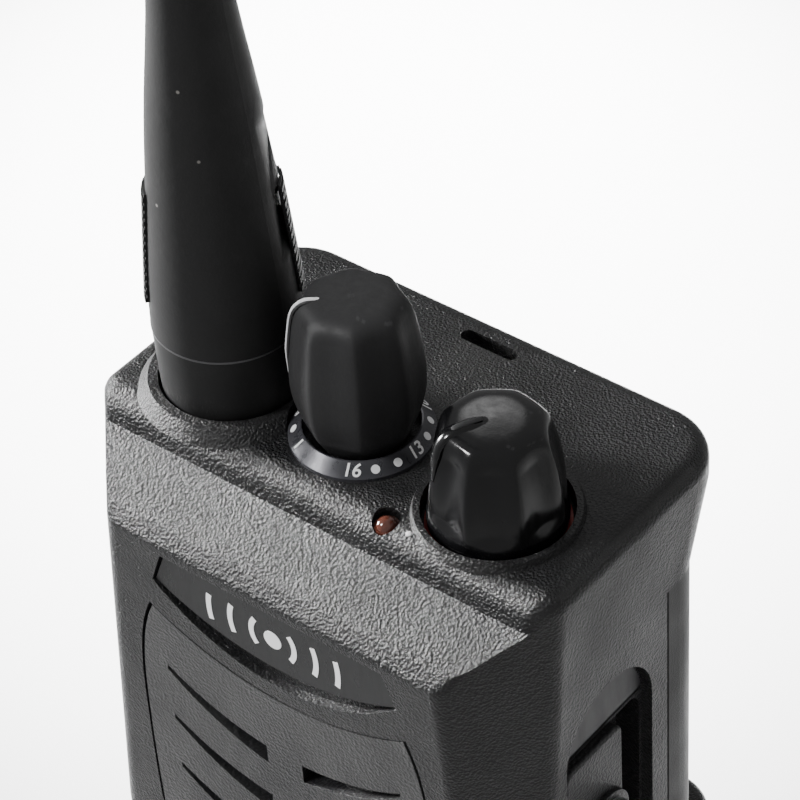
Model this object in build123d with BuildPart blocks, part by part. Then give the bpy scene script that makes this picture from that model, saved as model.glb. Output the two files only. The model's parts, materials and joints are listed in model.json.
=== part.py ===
"""Compact hand-held two-way radio: casing, controls, antenna, electronics and swing-out battery.

Frame: X to the right when facing the front, the front at -Y, +Z up. The origin is the centre of the base.
"""

import os
from math import cos, pi, radians, sin

from build123d import *

os.makedirs("parts", exist_ok=True)

UP = (Align.CENTER, Align.CENTER, Align.MIN)  # a primitive that stands on its location
DOWN = (Align.CENTER, Align.CENTER, Align.MAX)  # and one that hangs from it

# ---- driving dimensions (mm) ----
BODY_W = 54.0
BODY_H = 122.0
FRONT = -18.2
LEDGE_REAR = 18.2
BLOCK_REAR = 14.4
WALL = 2.0
TOP_WALL = 3.5
TOP_EDGE_R = 1.8
FRONT_EDGE_R = 2.7
CHAMFER_AZ = radians(41.3)  # the direction that the front corner chamfers face, from X
CHAMFER_TOP = 26.4  # distance of the chamfer from the Z axis at the top
CHAMFER_LOW = 29.3  # the same distance below the taper
TAPER_START = BODY_H - 50.0
SEAM_Y = 6.9  # joint between the front case and the rear chassis
BATTERY_FRONT = 4.3
BATTERY_TOP = 71.7
BLOCK_BOTTOM = 72.0
LEDGE_BOTTOM = 110.0  # the rear overhang swells out from here
LEDGE_TOP = 118.5  # to here
REAR_BEVEL = 1.6  # of the overhang's top edge, before its rounding
LEDGE_CORNER, BLOCK_CORNER = 6.5, 5.5
BLOCK_FLOOR = 4.0

ANTENNA_X, ANTENNA_Y = -15.7, -3.07
CHANNEL_X, CHANNEL_Y = -1.2, -1.81
VOLUME_X, VOLUME_Y = 15.5, -3.07
BUSH_R = 2.5
SHAFT_R = 1.75
RUNNING = 0.05  # radial clearance of a shaft in its bushing
SEAT_Z = BODY_H - 1.5  # floor of the volume knob's recess
BOOT_SEAT_Z = BODY_H - 1.6  # floor of the antenna's recess
BOOT_TOP_Z = BODY_H + 8.2
RING_T = 0.22
ANTENNA_TIP_Z = BODY_H + 146.0

SPEAKER_Z = 80.0
SPEAKER_R = 15.0
GRILLE_T = 1.6

KEY_Y = -3.4
PTT_Z, PTT_H = 70.5, 21.0
KEY_ZS = {"side_key_upper": 53.5, "side_key_lower": 43.5}
KEY_H = 7.0
PROUD = 28.2  # furthest reach of the side controls from the centre plane

JACK_Y = -4.3
JACKS = {"jack_socket_large": (93.6, 1.8), "jack_socket_small": (80.6, 1.3)}
SCREW_Y, SCREW_Z = -3.0, 87.6

HINGE_Y, HINGE_Z = 12.6, 73.6
TAB_XS = (-17.0, 17.0)
TAB_LEN = 6.0
CLIP_PITCH = 26.0
CLIP_Z = 94.0
CONTACT_XS = (-5.0, 0.0, 5.0)
CONTACT_Z = 61.0
SCREW_SPOTS = ((-21.5, 8.6), (21.5, 8.6), (-21.5, 64.0), (21.5, 64.0))


def save(builder, label, color):
    """Label a finished sub-part and write its STEP file."""
    builder.part.label = label
    builder.part.color = Color(*color)
    export_step(builder.part, f"parts/{label}.step")


BLACK = (0.06, 0.06, 0.065)
DARK = (0.12, 0.12, 0.13)
GREY = (0.45, 0.46, 0.48)
METAL = (0.7, 0.7, 0.72)
GOLD = (0.8, 0.65, 0.25)
GREEN = (0.05, 0.3, 0.15)
RED = (0.6, 0.08, 0.05)


# ---- casing envelope ----
def section_points(distance, half_w, front, rear):
    """Plan outline of the body, with its two front corners cut at the chamfer's distance."""
    front_x = (distance + front * sin(CHAMFER_AZ)) / cos(CHAMFER_AZ)
    side_y = -(distance - half_w * cos(CHAMFER_AZ)) / sin(CHAMFER_AZ)
    right = [(front_x, front), (half_w, side_y), (half_w, rear)]
    return right + [(-x, y) for x, y in reversed(right)]


def chamfer_distance(z):
    """How far the corner chamfers stand from the Z axis at a height."""
    share = max(0.0, (z - TAPER_START) / (BODY_H - TAPER_START))
    return CHAMFER_LOW + (CHAMFER_TOP - CHAMFER_LOW) * share


def envelope(inset):
    """Tapered body block with its overhanging rear ledge, inset from the outer skin."""
    half_w, front = BODY_W / 2 - inset, FRONT + inset
    block_row, ledge_row = (BLOCK_REAR, BLOCK_CORNER), (LEDGE_REAR, LEDGE_CORNER)
    rim_row = (LEDGE_REAR - REAR_BEVEL, LEDGE_CORNER - REAR_BEVEL / 2)
    rows = [(0, block_row), (TAPER_START, block_row), (LEDGE_BOTTOM, block_row)]
    rows += [(LEDGE_TOP, ledge_row), (BODY_H - REAR_BEVEL, ledge_row), (BODY_H, rim_row)]
    with BuildPart() as block:
        for z, (rear, corner_r) in rows:
            outline = section_points(chamfer_distance(z) - inset, half_w, front, rear - inset)
            with BuildSketch(Plane.XY.offset(z)):
                with BuildLine():
                    Polyline(outline, close=True)
                make_face()
                fillet(vertices().group_by(Axis.Y)[-1], corner_r - inset)
                fillet([v for v in vertices() if v.Y < front + 15], 2.2)
        loft(ruled=True)
    return block.part


def side_profile(points, half_w):
    """Solid of a YZ outline through the whole width."""
    with BuildPart() as slab:
        with BuildSketch(Plane.YZ):
            with BuildLine():
                Polyline(points, close=True)
            make_face()
        extrude(amount=half_w, both=True)
    return slab.part


CASE_PROFILE = [
    (FRONT, 0),
    (FRONT, BODY_H - 8.6),
    (FRONT + 1.2, BODY_H - 7.0),
    (FRONT + 5.6, BODY_H - 3.9),
    (-11.7, BODY_H - 3.3),
    (-10.9, BODY_H),
    (LEDGE_REAR, BODY_H),
    (LEDGE_REAR, LEDGE_BOTTOM),
    (SEAM_Y, LEDGE_BOTTOM),
    (SEAM_Y, BLOCK_BOTTOM),
    (4.0, BLOCK_BOTTOM),
    (4.0, 0),
]
CAVITY_PROFILE = [
    (FRONT + WALL, WALL),
    (FRONT + WALL, BODY_H - 10.5),
    (-11.0, BODY_H - 6.5),
    (-8.0, BODY_H - TOP_WALL),
    (12.0, BODY_H - TOP_WALL),
    (12.0, LEDGE_BOTTOM - 1),
    (SEAM_Y + 1, LEDGE_BOTTOM - 1),
    (SEAM_Y + 1, WALL),
]
outer_block = envelope(0)
case_slab = side_profile(CASE_PROFILE, BODY_W)
inner_block = envelope(WALL)
cavity_slab = side_profile(CAVITY_PROFILE, BODY_W)
cavity = inner_block & cavity_slab


def badge_outline(grow, sag):
    """Name badge outline: straight top, slanted ends and a sagging lower edge."""
    top_z, low_z = BODY_H - 9.9, BODY_H - 13.5
    Line((-13.2 - grow, top_z + grow), (13.2 + grow, top_z + grow))
    Line((13.2 + grow, top_z + grow), (14.6 + grow, low_z))
    ThreePointArc((14.6 + grow, low_z), (0, BODY_H - sag), (-14.6 - grow, low_z))
    Line((-14.6 - grow, low_z), (-13.2 - grow, top_z + grow))


def grille_outline(grow):
    """Speaker panel outline: sagging top, bulging sides and a rounded foot."""
    top_z, side_z, low_z = BODY_H - 17.4 + grow, BODY_H - 34, 54.0
    ThreePointArc((-15.3 - grow, top_z), (0, top_z - 4.0), (15.3 + grow, top_z))
    right = [(15.3 + grow, top_z), (17.8 + grow, side_z), (14.0 + grow, low_z)]
    Spline(right, tangents=((0.5, -1), (-0.35, -1)))
    ThreePointArc((14.0 + grow, low_z), (0, low_z - 4.0 - grow), (-14.0 - grow, low_z))
    left = [(-x, z) for x, z in reversed(right)]
    Spline(left, tangents=((-0.35, 1), (0.5, 1)))


FRONT_PLANE = Plane(origin=(0, 0, 0), x_dir=(1, 0, 0), z_dir=(0, -1, 0))  # its offset is the distance to -Y
RIGHT_PLANE = Plane(origin=(0, 0, 0), x_dir=(0, 1, 0), z_dir=(1, 0, 0))  # local x is Y, local y is Z
LEFT_PLANE = Plane(origin=(0, 0, 0), x_dir=(0, -1, 0), z_dir=(-1, 0, 0))
FRAME_H = 48.0
FRAME_Z = 60.0
FRAME_W = 17.0
FRAME_Y = -5.5
WINDOW_W = 11.0
ARCH_Y, ARCH_HALF, ARCH_TOP, ARCH_LOW = -2.4, 6.8, 106.0, 75.0
POCKET_TOP = 99.0
TUB_FLOOR_X, POCKET_X = 21.5, 23.0  # inner and outer faces of the jack pocket's floor

# ---- front case ----
with BuildPart() as front_case:
    add(outer_block)
    add(case_slab, mode=Mode.INTERSECT)
    plateau_front = edges().filter_by(Axis.X).filter_by_position(Axis.Z, BODY_H - 0.1, BODY_H + 0.1)
    fillet(plateau_front.sort_by(Axis.Y)[0], FRONT_EDGE_R)
    shoulder = edges().filter_by(Axis.X).filter_by_position(Axis.Z, BODY_H - 9, BODY_H - 6.5)
    fillet(shoulder, 1.2)
    top_rim = faces().sort_by(Axis.Z)[-1].edges()
    fillet(top_rim.filter_by(lambda e: e.center().Y > -10.0), TOP_EDGE_R)
    with BuildSketch(Plane.XY.offset(BODY_H - 0.2)):
        with Locations((ANTENNA_X, ANTENNA_Y)):
            Circle(9.4)
    extrude(amount=1.5, taper=38)
    with BuildSketch(Plane.XY.offset(BODY_H - 0.2)):
        with Locations((VOLUME_X, VOLUME_Y)):
            Circle(8.1)
    extrude(amount=0.8, taper=25)
    add(cavity, mode=Mode.SUBTRACT)
    with Locations(((TUB_FLOOR_X + 25.2) / 2, ARCH_Y, (POCKET_TOP + ARCH_LOW) / 2)):
        Box(25.2 - TUB_FLOOR_X, 2 * ARCH_HALF + 1, POCKET_TOP - ARCH_LOW + 1.6)
    # seats for the antenna and the two controls
    with Locations((ANTENNA_X, ANTENNA_Y, BOOT_SEAT_Z)):
        Cylinder(7.25, 4, align=UP, mode=Mode.SUBTRACT)
        Cylinder(3.25, 6, mode=Mode.SUBTRACT)
    with Locations((CHANNEL_X, CHANNEL_Y, BODY_H)):
        Cylinder(7.1, 4, align=UP, mode=Mode.SUBTRACT)
        Cylinder(BUSH_R + 0.1, 10, mode=Mode.SUBTRACT)
    with Locations((VOLUME_X, VOLUME_Y, SEAT_Z)):
        Cylinder(7.1, 4, align=UP, mode=Mode.SUBTRACT)
        Cylinder(BUSH_R + 0.1, 8, mode=Mode.SUBTRACT)
    # lamp recess and strap slot
    with Locations((7.8, -9.6, BODY_H - 1.4)):
        Cylinder(1.35, 3, align=UP, mode=Mode.SUBTRACT)
    with BuildSketch(Plane.XY.offset(BODY_H)):
        with Locations((1.0, 14.8)):
            SlotOverall(6.6, 1.5)
    extrude(amount=-14, mode=Mode.SUBTRACT)
    # name badge pocket with a sloping lower bank
    with BuildSketch(FRONT_PLANE.offset(-FRONT + 0.02)) as pocket_mouth:
        with BuildLine():
            badge_outline(0.12, 19.3)
        make_face()
    with BuildSketch(FRONT_PLANE.offset(-FRONT - 0.75)) as pocket_floor:
        with BuildLine():
            badge_outline(0.05, 17.3)
        make_face()
    loft([pocket_mouth.sketch, pocket_floor.sketch], mode=Mode.SUBTRACT)
    # speaker panel seat and the sound opening behind it
    with BuildSketch(FRONT_PLANE.offset(-FRONT)):
        with BuildLine():
            grille_outline(0.3)
        make_face()
    extrude(amount=-1.0, mode=Mode.SUBTRACT)
    with BuildSketch(FRONT_PLANE.offset(-FRONT)):
        with Locations((0, SPEAKER_Z)):
            Circle(SPEAKER_R - 1)
    extrude(amount=-4, mode=Mode.SUBTRACT)
    # microphone port
    with BuildSketch(FRONT_PLANE.offset(-FRONT)):
        with Locations((-9, 32)):
            Circle(0.6)
    extrude(amount=-4, mode=Mode.SUBTRACT)
    # side key frame seat and window
    with BuildSketch(LEFT_PLANE.offset(BODY_W / 2 - 0.8)):
        with Locations((-FRAME_Y, FRAME_Z)):
            RectangleRounded(FRAME_W, FRAME_H, 2)
    extrude(amount=2, mode=Mode.SUBTRACT)
    with BuildSketch(LEFT_PLANE.offset(BODY_W / 2 - 4)):
        with Locations((-KEY_Y, FRAME_Z)):
            RectangleRounded(WINDOW_W, FRAME_H - 3.2, 1.2)
    extrude(amount=5, mode=Mode.SUBTRACT)
    # accessory jack recess: a shallow arch with a deep lower pocket
    with BuildSketch(RIGHT_PLANE.offset(BODY_W / 2 - 1.3)):
        with Locations((ARCH_Y, ARCH_TOP - 13)):
            SlotOverall(26, 2 * ARCH_HALF, rotation=90)
        with Locations((ARCH_Y, (POCKET_TOP + ARCH_LOW) / 2)):
            RectangleRounded(2 * ARCH_HALF, POCKET_TOP - ARCH_LOW, 2)
    extrude(amount=4, mode=Mode.SUBTRACT)
    with BuildSketch(RIGHT_PLANE.offset(POCKET_X)):
        with Locations((ARCH_Y, (POCKET_TOP + ARCH_LOW) / 2)):
            RectangleRounded(2 * ARCH_HALF - 0.8, POCKET_TOP - ARCH_LOW - 1, 1.5)
    extrude(amount=6, mode=Mode.SUBTRACT)
    with BuildSketch(RIGHT_PLANE.offset(POCKET_X)):
        for hole_z, _ in JACKS.values():
            with Locations((JACK_Y, hole_z)):
                Circle(2.95)
        with Locations((SCREW_Y, SCREW_Z)):
            Circle(1.5 + RUNNING)
    extrude(amount=-3, mode=Mode.SUBTRACT)
    # latch well in the base
    with Locations((0, -1.0, 0)):
        Box(14.6, 7.6, 8, mode=Mode.SUBTRACT)
save(front_case, "front_case", BLACK)

# ---- rear chassis: plate behind the electronics and the block over the battery ----
BLOCK_PROFILE = [
    (SEAM_Y, BLOCK_BOTTOM),
    (SEAM_Y, LEDGE_BOTTOM),
    (BLOCK_REAR, LEDGE_BOTTOM),
    (BLOCK_REAR, BLOCK_BOTTOM),
]
block_slab = side_profile(BLOCK_PROFILE, BODY_W)
block_outer = outer_block & block_slab
with BuildPart() as rear_chassis:
    add(block_outer)
    with Locations((0, SEAM_Y, BLOCK_BOTTOM + BLOCK_FLOOR)):
        Box(49.6, 11.0, 30, align=UP, mode=Mode.SUBTRACT)
    with Locations((0, (4.05 + SEAM_Y) / 2, BLOCK_BOTTOM + 1)):
        Box(49.4, SEAM_Y - 4.05 + 0.1, 2)
    with Locations((0, 3.0, 2.4)):
        Box(49.4, 2.0, BLOCK_BOTTOM, align=UP)
    # hinge sockets for the battery tabs, open downwards and to the rear
    for x in TAB_XS:
        with BuildSketch(Plane.YZ.offset(x)):
            with Locations((HINGE_Y, HINGE_Z)):
                Circle(1.0 + RUNNING)
            with Locations((HINGE_Y + 0.8, HINGE_Z - 1.0)):
                Rectangle(3.6, 2.0)
        extrude(amount=TAB_LEN / 2 + 0.3, both=True, mode=Mode.SUBTRACT)
    low_edge = edges().filter_by(Axis.X).filter_by_position(Axis.Z, BLOCK_BOTTOM - 0.1, BLOCK_BOTTOM + 0.1)
    chamfer(low_edge.filter_by_position(Axis.Y, BLOCK_REAR - 0.1, BLOCK_REAR + 0.1), 1.3)
    # fine groove down both sides of the seam
    for side in (-1, 1):
        with Locations((side * BODY_W / 2, SEAM_Y, (BLOCK_BOTTOM + LEDGE_BOTTOM) / 2)):
            Box(0.5, 0.5, LEDGE_BOTTOM - BLOCK_BOTTOM, mode=Mode.SUBTRACT)
    # latch nose slot, contact windows, screw holes and belt clip insert holes
    with Locations((0, 3.0, 6.0)):
        Box(10.6, 4.0, 7.0, mode=Mode.SUBTRACT)
    with Locations((0, 3.0, CONTACT_Z)):
        Box(14.4, 4.0, 7.4, mode=Mode.SUBTRACT)
    with BuildSketch(Plane.XZ.offset(-BLOCK_REAR)):
        with Locations((-CLIP_PITCH / 2, CLIP_Z), (CLIP_PITCH / 2, CLIP_Z)):
            Circle(2.2)
    extrude(amount=6, mode=Mode.SUBTRACT)
    with BuildSketch(Plane.XZ.offset(-5)):
        with Locations(*SCREW_SPOTS):
            Circle(1.1)
    extrude(amount=4, mode=Mode.SUBTRACT)
save(rear_chassis, "rear_chassis", GREY)

with BuildPart() as belt_clip_inserts:
    with BuildSketch(Plane.XZ.offset(-BLOCK_REAR)):
        with Locations((-CLIP_PITCH / 2, CLIP_Z), (CLIP_PITCH / 2, CLIP_Z)):
            Circle(2.2)
            Circle(1.25, mode=Mode.SUBTRACT)
    extrude(amount=4)
save(belt_clip_inserts, "belt_clip_inserts", GOLD)

with BuildPart() as chassis_screws:
    with BuildSketch(Plane.XZ.offset(-4.25)):
        with Locations(*SCREW_SPOTS):
            Circle(1.05)
    extrude(amount=3.4)
save(chassis_screws, "chassis_screws", METAL)

with BuildPart() as case_gasket:
    with BuildSketch(Plane.XZ.offset(-2.0)):
        with Locations((0, 42.0)):
            Rectangle(49.2, 62.0)
            Rectangle(46.4, 59.2, mode=Mode.SUBTRACT)
    extrude(amount=0.8)
save(case_gasket, "case_gasket", DARK)

# ---- badge and speaker panel ----
with BuildPart() as name_badge:
    with BuildSketch(FRONT_PLANE.offset(-FRONT - 0.75)):
        with BuildLine():
            badge_outline(-0.12, 17.15)
        make_face()
    extrude(amount=0.5)
save(name_badge, "name_badge", DARK)

SLOT_PITCH, SLOT_DEPTH = 7.0, 0.8


def limb_outline(side, slot_z, pull, pinch, inset):
    """One limb of a V slot, wider towards the middle.

    pull draws its tip in along the limb, pinch 1 keeps the strip under its upper edge and inset narrows it.
    """
    tip_x, tip_z = 14.4 - pull, slot_z - 0.55 * pull
    inner_x = 2.2 + 0.2 * pinch + inset
    upper = [(tip_x, tip_z - inset), (8.0, slot_z - 2.85 - inset), (inner_x, slot_z - 3.95 - inset)]
    lower = [
        (inner_x, slot_z - 6.3 + 1.85 * pinch + inset),
        (8.0, slot_z - 4.5 + 1.25 * pinch + inset),
        (tip_x, tip_z - 0.6 + 0.3 * pinch + inset),
    ]
    upper, lower = [[(side * x, z) for x, z in edge] for edge in (upper, lower)]
    Spline(upper)
    Line(upper[-1], lower[0])
    Spline(lower)
    Line(lower[-1], upper[0])


with BuildPart() as speaker_grille:
    with BuildSketch(FRONT_PLANE.offset(-FRONT - 1.0)):
        with BuildLine():
            grille_outline(0)
        make_face()
    extrude(amount=1.0)
    with BuildSketch(FRONT_PLANE.offset(-FRONT - 1.0)):
        with Locations((0, SPEAKER_Z)):
            Circle(SPEAKER_R - 1.2)
    extrude(amount=-(GRILLE_T - 1.0))
    for row in range(5):
        slot_z = BODY_H - 25.0 - row * SLOT_PITCH
        for side in (-1, 1):
            # each limb's floor slopes in and up, from its lower edge to a slit under the upper one
            with BuildSketch(FRONT_PLANE.offset(-FRONT + 0.01)) as limb_mouth:
                with BuildLine():
                    limb_outline(side, slot_z, 0, 0, 0)
                make_face()
            with BuildSketch(FRONT_PLANE.offset(-FRONT - SLOT_DEPTH)) as limb_foot:
                with BuildLine():
                    limb_outline(side, slot_z, 0.8, 1, 0)
                make_face()
            loft([limb_mouth.sketch, limb_foot.sketch], mode=Mode.SUBTRACT)
            with BuildSketch(FRONT_PLANE.offset(-FRONT - SLOT_DEPTH + 0.1)):
                with BuildLine():
                    limb_outline(side, slot_z, 2.0, 1, 0.1)
                make_face()
            extrude(amount=-GRILLE_T, mode=Mode.SUBTRACT)
save(speaker_grille, "speaker_grille", BLACK)

# ---- loudspeaker ----
CONE_PROFILE = [
    (0, 1.6),
    (4.5, 1.6),
    (SPEAKER_R - 1.6, 0.2),
    (SPEAKER_R - 1.6, 0.6),
    (4.5, 2.1),
    (0, 2.1),
]
with BuildPart() as speaker_frame:
    with BuildSketch(Plane.XZ.offset(-(FRONT + WALL))):
        with Locations((0, SPEAKER_Z)):
            Circle(SPEAKER_R)
            Circle(SPEAKER_R - 1.5, mode=Mode.SUBTRACT)
    extrude(amount=-3.2)
    with BuildSketch(Plane.XZ.offset(-(FRONT + WALL + 3.2))):
        with Locations((0, SPEAKER_Z)):
            Circle(SPEAKER_R)
            Circle(7.0, mode=Mode.SUBTRACT)
    extrude(amount=-1.0)
save(speaker_frame, "speaker_frame", GREY)

with BuildPart() as speaker_cone:
    with BuildSketch(Plane.XY):
        with BuildLine():
            Polyline(CONE_PROFILE, close=True)
        make_face()
    revolve(axis=Axis.Y)
cone_place = Location((0, FRONT + WALL + 0.6, SPEAKER_Z))
speaker_cone.part.location = cone_place
save(speaker_cone, "speaker_cone", DARK)

with BuildPart() as speaker_magnet:
    with BuildSketch(Plane.XZ.offset(-(FRONT + WALL + 3.4))):
        with Locations((0, SPEAKER_Z)):
            Circle(6.9)
    extrude(amount=-3.4)
save(speaker_magnet, "speaker_magnet", METAL)

with BuildPart() as microphone:
    with BuildSketch(Plane.XZ.offset(-(FRONT + WALL))):
        with Locations((-9, 32)):
            Circle(2.0)
    extrude(amount=-2.2)
save(microphone, "microphone", METAL)

# ---- main board ----
BOARD_FRONT = -0.2
with BuildPart() as main_board:
    with Locations((0, BOARD_FRONT + 0.5, 56.5)):
        Box(42.4, 1.0, 87)
    with Locations((-9, BOARD_FRONT - 0.6, 96), (12, BOARD_FRONT - 0.6, 46), (-12, BOARD_FRONT - 0.5, 22)):
        Box(9, 1.2, 7)
save(main_board, "main_board", GREEN)

with BuildPart() as shield_cans:
    with Locations((-10, BOARD_FRONT - 1.25, 50), (9, BOARD_FRONT - 1.25, 26)):
        Box(18, 2.5, 20)
    with Locations((-10, BOARD_FRONT - 0.75, 50), (9, BOARD_FRONT - 0.75, 26)):
        Box(17, 1.5, 19, mode=Mode.SUBTRACT)
save(shield_cans, "shield_cans", METAL)

with BuildPart() as radio_contacts:
    for x in CONTACT_XS:
        with Locations((x, 2.45, CONTACT_Z)):
            Box(2.2, 3.1, 4.0)
save(radio_contacts, "radio_contacts", GOLD)


# ---- rotary controls ----
def control(x, y, bush_top, label):
    """Square switch body with its threaded bushing, hung under the case top."""
    with BuildPart() as switch:
        with Locations((x, y, BODY_H - TOP_WALL)):
            Box(9.6, 9.6, 6, align=DOWN)
            Cylinder(BUSH_R, bush_top - BODY_H + TOP_WALL, align=UP)
        with Locations((x, y, bush_top)):
            bore_depth = bush_top - BODY_H + TOP_WALL + 5
            Cylinder(SHAFT_R + RUNNING, bore_depth, align=DOWN, mode=Mode.SUBTRACT)
    save(switch, label, GREY)


def nut(x, y, seat_z, label):
    """Hexagonal nut that clamps the bushing to the case."""
    with BuildPart() as hexagon:
        with BuildSketch(Plane.XY.offset(seat_z)):
            with Locations((x, y)):
                RegularPolygon(3.4, 6, major_radius=False)
                Circle(BUSH_R, mode=Mode.SUBTRACT)
        extrude(amount=1.5)
    save(hexagon, label, METAL)


def shaft(x, y, top_z, label):
    """Plain control shaft with a flat near its top."""
    with BuildPart() as spindle:
        with BuildSketch(Plane.XY.offset(BODY_H - TOP_WALL - 4.6)):
            with Locations((x, y)):
                Circle(SHAFT_R)
        extrude(amount=top_z - BODY_H + TOP_WALL + 4.6)
        with Locations((x, y + SHAFT_R + 0.9, top_z)):
            Box(5, 3, 14, align=DOWN, mode=Mode.SUBTRACT)
    save(spindle, label, METAL)


def knob(x, y, profile, flutes, flute_r, flute_depth, hollow_z, bore_top, label):
    """Fluted knob from its (radius, height) profile, hollow below and bored for the shaft."""
    base_z = profile[0][1]
    widest = max(r for r, _ in profile)
    with BuildPart() as grip:
        with BuildSketch(Plane.XZ):
            with BuildLine():
                Line((0, base_z), profile[0])
                Spline(profile)
                Line(profile[-1], (0, profile[-1][1]))
                Line((0, profile[-1][1]), (0, base_z))
            make_face()
        revolve(axis=Axis.Z)
        with BuildSketch(Plane.XY.offset(base_z)):
            with PolarLocations(widest + flute_r - flute_depth, flutes, start_angle=22.5):
                Circle(flute_r)
        extrude(amount=30, mode=Mode.SUBTRACT)
        with Locations((0, 0, base_z)):
            Cylinder(3.95, hollow_z - base_z, align=UP, mode=Mode.SUBTRACT)
        Cylinder(SHAFT_R, bore_top, align=UP, mode=Mode.SUBTRACT)
    grip.part.location = Location((x, y, BODY_H))
    save(grip, label, BLACK)


CHANNEL_PROFILE = [
    (4.75, 0.4),
    (5.0, 1.5),
    (5.46, 2.6),
    (5.99, 4.5),
    (6.27, 6.4),
    (6.2, 9.0),
    (5.75, 13.2),
    (5.4, 15.4),
    (4.5, 16.8),
]
VOLUME_PROFILE = [(6.1, -0.4), (6.4, 2.5), (6.4, 5.6), (5.7, 8.2), (4.95, 10.4), (4.2, 12.1)]
control(CHANNEL_X, CHANNEL_Y, BODY_H + 2.6, "channel_encoder")
nut(CHANNEL_X, CHANNEL_Y, BODY_H, "channel_nut")
shaft(CHANNEL_X, CHANNEL_Y, BODY_H + 13.0, "channel_shaft")
knob(CHANNEL_X, CHANNEL_Y, CHANNEL_PROFILE, 8, 3.2, 0.55, 4.4, 13.0, "channel_knob")
control(VOLUME_X, VOLUME_Y, BODY_H + 0.8, "volume_control")
nut(VOLUME_X, VOLUME_Y, SEAT_Z, "volume_nut")
shaft(VOLUME_X, VOLUME_Y, BODY_H + 8.6, "volume_shaft")
knob(VOLUME_X, VOLUME_Y, VOLUME_PROFILE, 6, 4.5, 0.5, 2.2, 8.6, "volume_knob")

with BuildPart() as channel_dial_ring:
    with BuildSketch(Plane.XZ):
        with BuildLine():
            Polyline([(5.6, 0), (6.95, 0), (6.95, 0.35), (5.75, 1.5), (5.6, 1.5)], close=True)
        make_face()
    revolve(axis=Axis.Z)
channel_dial_ring.part.location = Location((CHANNEL_X, CHANNEL_Y, BODY_H))
save(channel_dial_ring, "channel_dial_ring", DARK)

with BuildPart() as volume_seal_ring:
    with BuildSketch(Plane.XY.offset(SEAT_Z)):
        with Locations((VOLUME_X, VOLUME_Y)):
            Circle(6.75)
            Circle(5.2, mode=Mode.SUBTRACT)
    extrude(amount=0.5)
save(volume_seal_ring, "volume_seal_ring", RED)

with BuildPart() as led_lens:
    with Locations((7.8, -9.6, BODY_H - 1.4)):
        Cylinder(1.2, 0.5, align=UP)
    with Locations((7.8, -9.6, BODY_H - 1.2)):
        Sphere(1.1, arc_size1=0, align=UP)
save(led_lens, "led_lens", RED)

# ---- antenna ----
SHEATH_PROFILE = [
    (7.2, BOOT_TOP_Z + RING_T), (6.95, BODY_H + 14), (5.95, BODY_H + 25), (5.2, BODY_H + 32.8),
    (3.9, BODY_H + 43.4), (3.3, BODY_H + 52), (3.05, BODY_H + 70), (3.0, ANTENNA_TIP_Z - 3.0),
]
CORE_R = 1.2
GRIP_AZ, GRIP_SPAN, RIBS = 41.0, 28.0, 14
GRIP_PROUD, GRIP_FLOOR = 0.3, 0.15
GRIP_LOW, GRIP_HIGH = BODY_H + 11.7, BODY_H + 23.9
GRIP_R_LOW, GRIP_R_HIGH = 7.17, 6.12
with BuildPart() as antenna_boot:
    with BuildSketch(Plane.XY.offset(BOOT_SEAT_Z + 0.4)):
        with Locations((ANTENNA_X, ANTENNA_Y)):
            Circle(6.85)
    extrude(amount=BOOT_TOP_Z - BOOT_SEAT_Z - 0.4, taper=-2)
    with Locations((ANTENNA_X, ANTENNA_Y, BOOT_SEAT_Z)):
        Cylinder(1.5, 6, align=UP, mode=Mode.SUBTRACT)
save(antenna_boot, "antenna_boot", BLACK)

with BuildPart() as antenna_joint_ring:
    with Locations((ANTENNA_X, ANTENNA_Y, BOOT_TOP_Z)):
        Cylinder(7.22, RING_T, align=UP)
save(antenna_joint_ring, "antenna_joint_ring", METAL)

with BuildPart() as antenna_sheath:
    with BuildSketch(Plane.XZ):
        with BuildLine():
            Line((CORE_R, BOOT_TOP_Z + RING_T), SHEATH_PROFILE[0])
            Spline(SHEATH_PROFILE, tangents=((0, 1), (0, 1)))
            RadiusArc(SHEATH_PROFILE[-1], (0, ANTENNA_TIP_Z), -3.0)
            Line((0, ANTENNA_TIP_Z), (0, ANTENNA_TIP_Z - 6))
            Line((0, ANTENNA_TIP_Z - 6), (CORE_R, ANTENNA_TIP_Z - 6))
            Line((CORE_R, ANTENNA_TIP_Z - 6), (CORE_R, BOOT_TOP_Z + RING_T))
        make_face()
    revolve(axis=Axis.Z)
antenna_sheath.part.location = Location((ANTENNA_X, ANTENNA_Y, 0))
save(antenna_sheath, "antenna_sheath", BLACK)


def grip_outline():
    """Ribbed radial outline of a grip pad, in (radius, height)."""
    rise = (GRIP_HIGH - GRIP_LOW) / RIBS
    outline = [(5.0, GRIP_LOW)]
    for rib in range(RIBS):
        for share, proud in ((0.0, GRIP_PROUD), (0.6, GRIP_PROUD), (0.6, GRIP_FLOOR), (1.0, GRIP_FLOOR)):
            height = GRIP_LOW + (rib + share) * rise
            lean = (rib + share) / RIBS
            outline.append((GRIP_R_LOW + (GRIP_R_HIGH - GRIP_R_LOW) * lean + proud, height))
    outline.append((5.0, GRIP_HIGH))
    return outline


with BuildPart() as antenna_grips:
    for turn in (0, 180):
        start = radians(GRIP_AZ - GRIP_SPAN / 2 + turn)
        outward, across = (cos(start), sin(start), 0), (sin(start), -cos(start), 0)
        with BuildSketch(Plane((0, 0, 0), x_dir=outward, z_dir=across)):
            with BuildLine():
                Polyline(grip_outline(), close=True)
            make_face()
        revolve(axis=Axis.Z, revolution_arc=GRIP_SPAN)
    add(antenna_sheath.part.moved(Location((-ANTENNA_X, -ANTENNA_Y, 0))), mode=Mode.SUBTRACT)
antenna_grips.part.location = Location((ANTENNA_X, ANTENNA_Y, 0))
save(antenna_grips, "antenna_grips", BLACK)

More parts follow.
